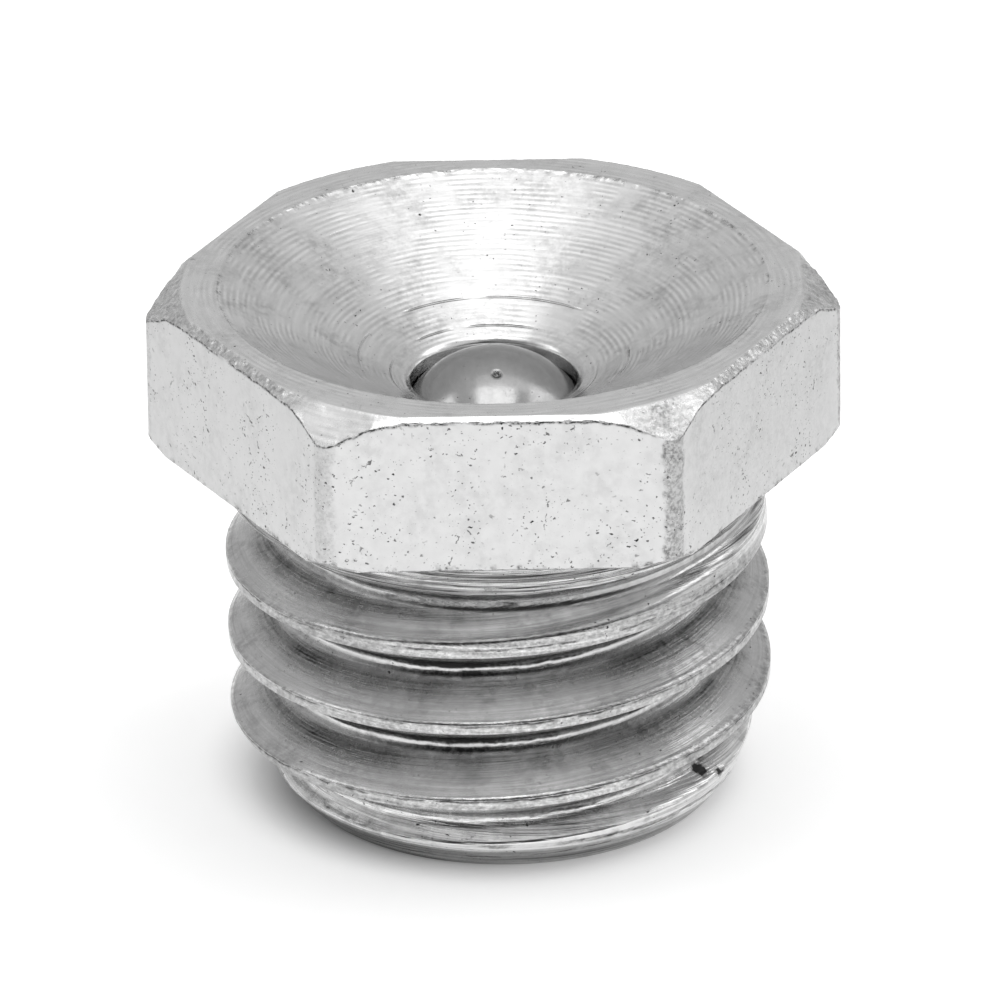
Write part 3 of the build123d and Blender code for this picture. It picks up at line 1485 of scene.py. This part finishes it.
    def root_lines(self, grid: ShankGrid, soil_and_painted_light: np.ndarray) -> np.ndarray:
        """Adds painted shade, a dark line on both sides of each groove's root under the crests, and
        a painted reflection, a bright line between.

        Args:
            grid: The clean grid.
            soil_and_painted_light: The dirt and painted light so far.

        Returns:
            The dirt and painted light at each point.
        """
        upper_dark, lower_dark, lower_side_loss = 0.92, 0.8, 0.35
        bright_width, shine = 0.014, 0.7
        inside = (grid.ragged + 0.5) % 1.0 - 0.5
        cut = smooth_step(grid.depth, 0.2, 0.45)
        close = 0.035 * (1.0 - grid.sides)
        upper = smooth_step(inside, -0.16, -0.12) * smooth_step(inside - close, -0.025, -0.045)
        lower = smooth_step(inside + close * 0.6, 0.035, 0.05) * smooth_step(inside, 0.11, 0.08)
        # Painted shade: dark lines beside each root under the crests; the bright line between them
        # is a painted reflection.
        dark = upper * upper_dark + lower * (lower_dark - lower_side_loss * grid.sides)
        bright = ridge(inside, close * 0.15, bright_width) * shine
        return np.maximum(soil_and_painted_light, cut * dark) - cut * bright

    def end_ring(self, grid: ShankGrid, soil_and_painted_light: np.ndarray) -> np.ndarray:
        """Adds a ragged dark ring with a bright edge round the turned end.

        Args:
            grid: The clean grid.
            soil_and_painted_light: The dirt and painted light so far.

        Returns:
            The dirt and painted light at each point.
        """
        dark_level, bright_level, width, raggedness = -5.0, -4.928, 0.03, 0.04
        darkness, shine = 0.95, 0.6
        level = grid.heights + grid.grain.rough(grid.points, 0.2, step=3) * raggedness
        broken = smooth_step(grid.grain.rough(grid.points, 0.7, step=8), -0.25, 0.1)
        soil_and_painted_light = np.maximum(soil_and_painted_light, ridge(level, dark_level, width) * broken * darkness)
        return soil_and_painted_light - ridge(level, bright_level, width) * broken * shine

    def pierced(self, grid: ShankGrid) -> np.ndarray:
        """Small holes of the turned end.

        Args:
            grid: The clean grid.

        Returns:
            1 inside a hole and 0 outside, at each point.
        """
        stretch, raggedness, flat_share = 1.7, 0.012, 0.8
        torn = grid.grain.rough(grid.points, 0.12) * raggedness
        found = np.zeros(grid.heights.shape)
        for centre, level, size in self.holes:
            aside = np.radians(grid.bearing - centre) * grid.radii / stretch
            off = np.hypot(aside, grid.heights - level)
            found = np.maximum(found, smooth_step(off + torn, size, size * flat_share))
        return found

    def build(self) -> None:
        """Makes and dresses the two pieces of the shank."""
        upper_turns, hole_depth = 3, 0.012
        grid = self.grid()
        holes = self.pierced(grid)
        points = self.worn(grid)
        points[..., :2] -= grid.outward() * (holes * hole_depth)[..., None]
        soil_and_painted_light = np.maximum(self.laps_and_highlights(grid), self.groove_shade(grid))
        soil_and_painted_light = self.end_ring(grid, self.root_lines(grid, soil_and_painted_light))
        # Painted shade: the small holes are painted dark inside; the mesh dents them only a little.
        soil_and_painted_light = np.maximum(soil_and_painted_light, holes)
        rows = len(self.steps())
        finish = Metal(
            "plated_thread",
            Lay.THREADED,
            tone=0.62,
            roughness=0.17,
            line_pitch=0.04,
            line_depth=0.0026,
            line_shade=0.75,
            speck_share=0.25,
            blotches=0.35,
        )
        last = points.shape[0] - 1
        middle = last - rows * upper_turns
        for name, start, end in (
            ("shank_thread_upper", middle, last),
            ("shank_thread_lower", 0, middle),
        ):
            skin = Skin(name, points[::-1], soil_and_painted_light[::-1], start, end, rows)
            mount(skin.build(), "body", "nipple_body", finish)


@dataclass
class ValveChamber:
    """The end face of the shank and the bored chamber behind it.

    Attributes:
        foot: Height of the end face.
        seat_radius: Radius of the chamber.
        seat_height: Height of its top, at the foot of the ball's seat.
        lip_top: Height of the lip that holds the spring.
        lip_radius: Radius of the hole in the lip.
        lip_break: Size of the broken edge outside that hole.
        lip_round: Size of the rounding inside it.
        corner_round: Size of the rounding between the lip and the wall.
        end_radius: Radius of the end face.
        columns: Number of points round the axis.
    """

    foot: float
    seat_radius: float = 1.65
    seat_height: float = 0.0655
    lip_top: float = -5.1
    lip_radius: float = 1.0
    lip_break: float = 0.06
    lip_round: float = 0.03
    corner_round: float = 0.05
    end_radius: float = 3.12
    columns: int = 240

    def build(self) -> None:
        """Makes and dresses the end face and the chamber wall."""
        bearings = np.arange(self.columns) * FULL_TURN / self.columns
        corners = (
            (self.end_radius, self.foot, 1),
            (self.lip_radius + self.lip_break, self.foot, 30),
            (self.lip_radius, self.foot + self.lip_break, 4),
            (self.lip_radius, self.lip_top - self.lip_round, 8),
            (self.lip_radius + self.lip_round, self.lip_top, 3),
            (self.seat_radius - self.corner_round, self.lip_top, 12),
            (self.seat_radius, self.lip_top + self.corner_round, 3),
            (self.seat_radius, self.seat_height, 60),
        )
        radii, heights = [corners[0][0]], [corners[0][1]]
        for (old_r, old_z, _), (new_r, new_z, count) in zip(corners, corners[1:]):
            for share in np.linspace(0.0, 1.0, count + 1)[1:]:
                radii.append(old_r + (new_r - old_r) * share)
                heights.append(old_z + (new_z - old_z) * share)
        grid_r = np.repeat(np.array(radii)[:, None], self.columns, axis=1)
        grid_z = np.repeat(np.array(heights)[:, None], self.columns, axis=1)
        points = round_grid(grid_r, grid_z, bearings)
        points[..., 0] += run_out_of_true(grid_z)
        finish = Metal("plated_end_face", Lay.FACED, roughness=0.3, speck_share=0.2)
        skin = Skin("shank_end_face", points, np.zeros(grid_r.shape))
        mount(skin.build(), "body", "nipple_body", finish)


@dataclass
class CheckBall:
    """The bearing ball that closes the throat.

    Attributes:
        radius: Radius of the ball.
        centre: Height of its centre.
        pit_bearing: Bearing of the small pit beside its pole.
        pit_tilt: Angle of the pit from the pole.
        pit_radius: Radius of the pit.
        pit_depth: Depth of the pit.
        scratch_depth: Depth of the deepest scratches.
        columns: Number of points round the axis.
    """

    radius: float
    centre: float
    pit_bearing: float = -86.0
    pit_tilt: float = 20.0
    pit_radius: float = 0.095
    pit_depth: float = 0.05
    scratch_depth: float = 0.004
    columns: int = 320

    def build(self) -> None:
        """Makes and dresses the ball."""
        flat_share, smooth_share, pit_shade = 0.3, 0.35, 0.95
        rows = self.columns // 2
        bearings = np.arange(self.columns) * FULL_TURN / self.columns
        tilt = np.linspace(0.0, math.pi, rows + 1)[:, None]
        flat = np.repeat(np.sin(tilt), self.columns, axis=1)
        rise = np.repeat(np.cos(tilt), self.columns, axis=1)
        ways = round_grid(flat, rise, bearings)
        pit_tilt = np.radians(np.array([self.pit_tilt]))
        pit = round_grid(np.sin(pit_tilt), np.cos(pit_tilt), np.array([self.pit_bearing]))[0]
        away = np.arccos(np.clip(ways @ pit, -1.0, 1.0)) * self.radius
        hollow = smooth_step(away, self.pit_radius, self.pit_radius * flat_share)
        scratch = np.maximum(Grain(37).rough(ways * self.radius, 0.25) - smooth_share, 0.0)
        size = self.radius - hollow * self.pit_depth - scratch * self.scratch_depth
        points = ways * size[..., None]
        points[..., 2] += self.centre
        # Painted shade: the pit is painted dark inside.
        skin = Skin("valve_ball", points, hollow * pit_shade)
        finish = Metal(
            "ball_steel",
            Lay.POLISHED,
            tone=0.34,
            roughness=0.2,
            line_depth=0.0005,
            speck_share=0.12,
        )
        mount(skin.build(), "ball", "check_ball", finish)


@dataclass
class ReturnSpring:
    """The coil spring below the ball, with its ends ground flat.

    Attributes:
        foot: Height of its lower end.
        head: Height of its upper end.
        wire: Diameter of the wire.
        coil: Mean radius of the coil.
        turns: Number of turns.
        fixed_end: Not used; the height that would stay as the spring shortens.
        travel: Not used; how far the ball would press it down.
    """

    foot: float
    head: float
    wire: float = 0.35
    coil: float = 1.175
    turns: float = 3.25
    fixed_end: float = -5.09
    travel: float = 1.5

    def build(self) -> None:
        """Makes and dresses the spring, and gives it a mesh of its own."""
        along, around = ((640, 24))
        length = self.head - self.foot
        share = np.linspace(0.0, 1.0, along + 1)
        turn = 2 * math.pi * self.turns * share
        outward = np.stack([np.cos(turn), np.sin(turn), np.zeros_like(turn)], axis=-1)
        centre = self.coil * outward
        centre[:, 2] = self.foot + length * share
        tangent = np.gradient(centre, axis=0)
        tangent /= np.linalg.norm(tangent, axis=1)[:, None]
        upward = np.cross(tangent, outward)
        angle = np.linspace(0.0, 2 * math.pi, around, endpoint=False)[None, :, None]
        offset = np.cos(angle) * outward[:, None, :] + np.sin(angle) * upward[:, None, :]
        ring = centre[:, None, :] + self.wire / 2 * offset
        ring[..., 2] = np.clip(ring[..., 2], self.foot, self.head)
        first, last = (np.repeat(end[None, None], around, axis=1) for end in centre[[0, -1]])
        points = np.concatenate([first, ring, last])
        piece = Skin("return_coil", points, np.zeros(points.shape[:2])).build()
        finish = Metal("spring_steel", Lay.POLISHED, tone=0.5, roughness=0.3, speck_share=0.1)
        mount(piece, "body", "return_spring", finish)
        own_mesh(piece)


# ---- Studio --------------------------------------------------------------------------------------


@dataclass(frozen=True)
class Lamp:
    """A soft light with four straight sides.

    Attributes:
        name: Name of the light.
        place: Where it hangs, in metres from the middle of the part.
        width: Its size across, in metres.
        depth: Its size from front to back, in metres.
        power: Its power in watts.
        aimed: True where it is turned to the part, False where it points straight down.
    """

    name: str
    place: tuple[float, float, float]
    width: float
    depth: float
    power: float
    aimed: bool = False

    def hang(self) -> None:
        """Adds the light to the studio."""
        light = bpy.data.lights.new(self.name, "AREA")
        light.shape = "RECTANGLE"
        light.size = self.width
        light.size_y = self.depth
        light.energy = self.power
        lamp = bpy.data.objects.new(self.name, light)
        lamp.location = self.place
        if self.aimed:
            lamp.rotation_euler = Vector(self.place).to_track_quat("Z", "Y").to_euler()
        bpy.context.scene.collection.objects.link(lamp)


@dataclass
class Studio:
    """Pale sweep, soft lights, surroundings and camera.

    Attributes:
        floor_height: Height of the sweep, in metres.
        floor_size: Length of its sides, in metres.
        lamps: Two weak lights beside and two above, the back one dim for the funnel's wall.
        bearing: Angle by which the camera stands to the left of the front.
        elevation: Angle by which it stands above the part.
        roll: Angle by which it leans.
        distance: Its distance, in metres.
        aim_height: Height of the point that it turns about, in metres.
        yaw: Angle in radians by which it then looks to the right.
        pitch: Angle in radians by which it then looks up.
        focal_pixels: Focal length, as a number of the picture's pixels.
        picture_pixels: Width of the picture.
        sensor: Width of the sensor.
        nearest: The nearest distance that it sees, in metres.
    """

    floor_height: float
    floor_size: float = 3.0
    lamps: tuple[Lamp, ...] = (
        Lamp("right_light", (0.34, 0.06, 0.30), width=0.225, depth=0.225, power=0.196, aimed=True),
        Lamp("left_light", (-0.34, 0.02, 0.30), width=0.15, depth=0.15, power=0.28 / 3, aimed=True),
        Lamp("top_back_light", (0.05, 0.075, 0.28), width=0.27, depth=0.09, power=0.035),
        Lamp("top_front_light", (0.01, -0.045, 0.28), width=0.20, depth=0.15, power=0.16),
    )
    bearing: float = 0.7518
    elevation: float = 25.798
    roll: float = -0.6436
    distance: float = 235.7882966 * MM
    aim_height: float = -0.196 * MM
    yaw: float = 0.000297
    pitch: float = -0.003117
    focal_pixels: float = 15854.1
    picture_pixels: float = 1000.0
    sensor: float = 36.0
    nearest: float = 0.001

    def lay_floor(self) -> None:
        """Makes the sweep."""
        half = self.floor_size / 2
        mesh = bpy.data.meshes.new("sweep")
        corners = [(-half, -half), (half, -half), (half, half), (-half, half)]
        mesh.from_pydata([(x, y, self.floor_height) for x, y in corners], [], [(0, 1, 2, 3)])
        mesh.materials.append(Paper("sweep_paper").make())
        floor = bpy.data.objects.new("sweep", mesh)
        bpy.context.scene.collection.objects.link(floor)

    def surround(self) -> None:
        """Paints the room: pale all round, paler overhead, dark on the camera's side."""
        wall_grey, overhead_gain, dark_grey = 0.62, 0.25, 0.04
        world = bpy.data.worlds.new("studio")
        world.use_nodes = True
        board = Board(world.node_tree)
        way = board.add("ShaderNodeTexCoord", {}, {}, "Generated")
        _, y, z = board.parts(way)
        tent = z.graded(0.50, 0.95) * overhead_gain + wall_grey
        dark_side = (y + 0.2 * z).graded(-0.15, -0.65) * z.graded(0.02, 0.10)
        colour = board.greys(tent, dark_grey, dark_side)
        shader = board.add("ShaderNodeBackground", {}, {"Color": colour, "Strength": 1.0})
        board.add("ShaderNodeOutputWorld", {}, {"Surface": shader})
        bpy.context.scene.world = world

    def set_camera(self) -> None:
        """Sets the camera in front of and above the part."""
        turn, rise = math.radians(self.bearing), math.radians(self.elevation)
        flat = math.cos(rise)
        back = Vector((-math.sin(turn) * flat, -math.cos(turn) * flat, math.sin(rise)))
        place = back * self.distance + Vector((0.0, 0.0, self.aim_height))
        zenith = Vector((0.0, 0.0, 1.0))
        right = (-back).cross(zenith).normalized()
        up = right.cross(-back).normalized()
        look = (-back + self.yaw * right + self.pitch * up).normalized()
        right = look.cross(zenith).normalized()
        up = right.cross(look)
        lean = math.radians(self.roll)
        across = math.cos(lean) * right + math.sin(lean) * up
        upward = -math.sin(lean) * right + math.cos(lean) * up
        lens = bpy.data.cameras.new("camera")
        lens.sensor_width = self.sensor
        lens.lens = self.focal_pixels * self.sensor / self.picture_pixels
        lens.clip_start = self.nearest
        camera = bpy.data.objects.new("camera", lens)
        turned = Matrix((across, upward, -look)).transposed().to_4x4()
        camera.matrix_world = Matrix.Translation(place) @ turned
        bpy.context.scene.collection.objects.link(camera)
        bpy.context.scene.camera = camera

    def build(self) -> None:
        """Sets up the whole studio."""
        self.lay_floor()
        for lamp in self.lamps:
            lamp.hang()
        self.surround()
        self.set_camera()
        bpy.context.scene.view_settings.view_transform = "Standard"
        log.info("studio: floor at %.3f mm", self.floor_height / MM)


def node_box(node: str) -> tuple[np.ndarray, np.ndarray]:
    """Reads the box of a CAD node from the frame.

    Args:
        node: Name of the node.

    Returns:
        Its low and high corner, in millimetres.
    """
    low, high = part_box(node)
    return np.array(low) / MM, np.array(high) / MM


def main() -> None:
    """Builds the nipple and the studio round it."""
    logging.basicConfig(level=logging.INFO, format="%(name)s: %(message)s")
    low, high = node_box("nipple_body")
    HexHead(across_flats=high[1] - low[1], top=high[2]).build()
    ThreadedShank(foot=low[2]).build()
    ValveChamber(foot=low[2]).build()
    ball_low, ball_high = (corner[2] for corner in node_box("check_ball"))
    CheckBall(radius=(ball_high - ball_low) / 2, centre=(ball_high + ball_low) / 2).build()
    coil_low, coil_high = (corner[2] for corner in node_box("return_spring"))
    ReturnSpring(foot=coil_low, head=coil_high).build()
    Studio(floor_height=low[2] * MM).build()


if __name__ == "__main__":
    main()
